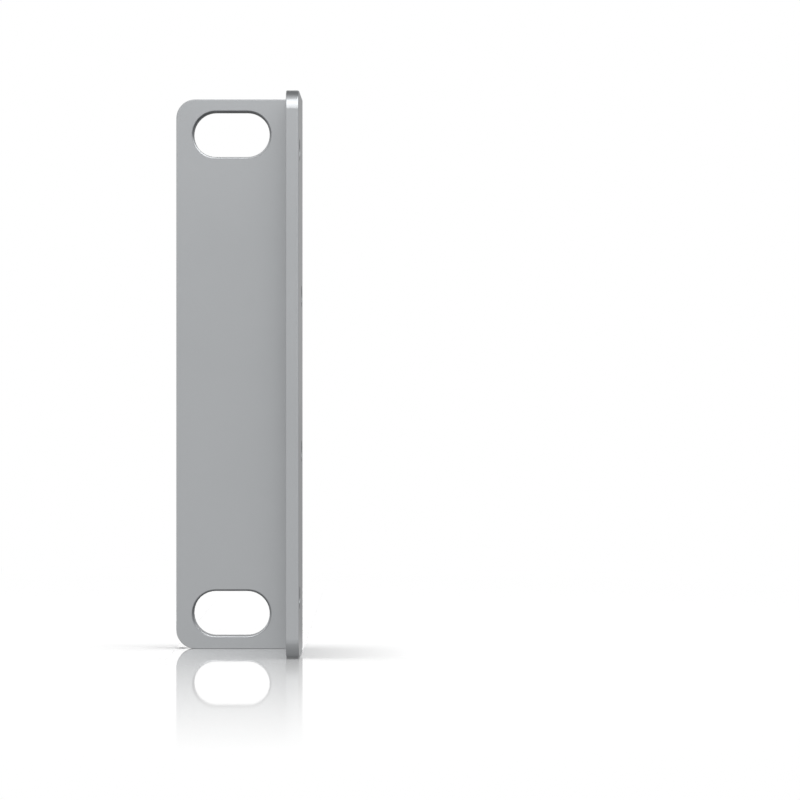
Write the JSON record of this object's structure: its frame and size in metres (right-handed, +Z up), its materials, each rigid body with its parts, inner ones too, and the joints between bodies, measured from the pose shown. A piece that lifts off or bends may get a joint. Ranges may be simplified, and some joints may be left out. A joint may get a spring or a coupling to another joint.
{
  "type": "rack mount ear bracket",
  "caption": "Folded sheet-metal ear that fixes a rack device to the rails, with level screw slots in the ear and countersunk holes in its side leg.",
  "frame": {"origin": "on the ear's rail face, midway between the two rack slots", "axes": "+X towards the device, +Y towards the front of the rack, +Z up; the ear spreads towards -X and the side leg runs back towards -Y"},
  "size_m": [0.0201, 0.02, 0.0874],
  "materials": {
    "satin_aluminium": "bead-blasted and clear anodised, satin"
  },
  "bodies": {
    "root": {"ear_bracket": "satin_aluminium"}
  },
  "joints": []
}
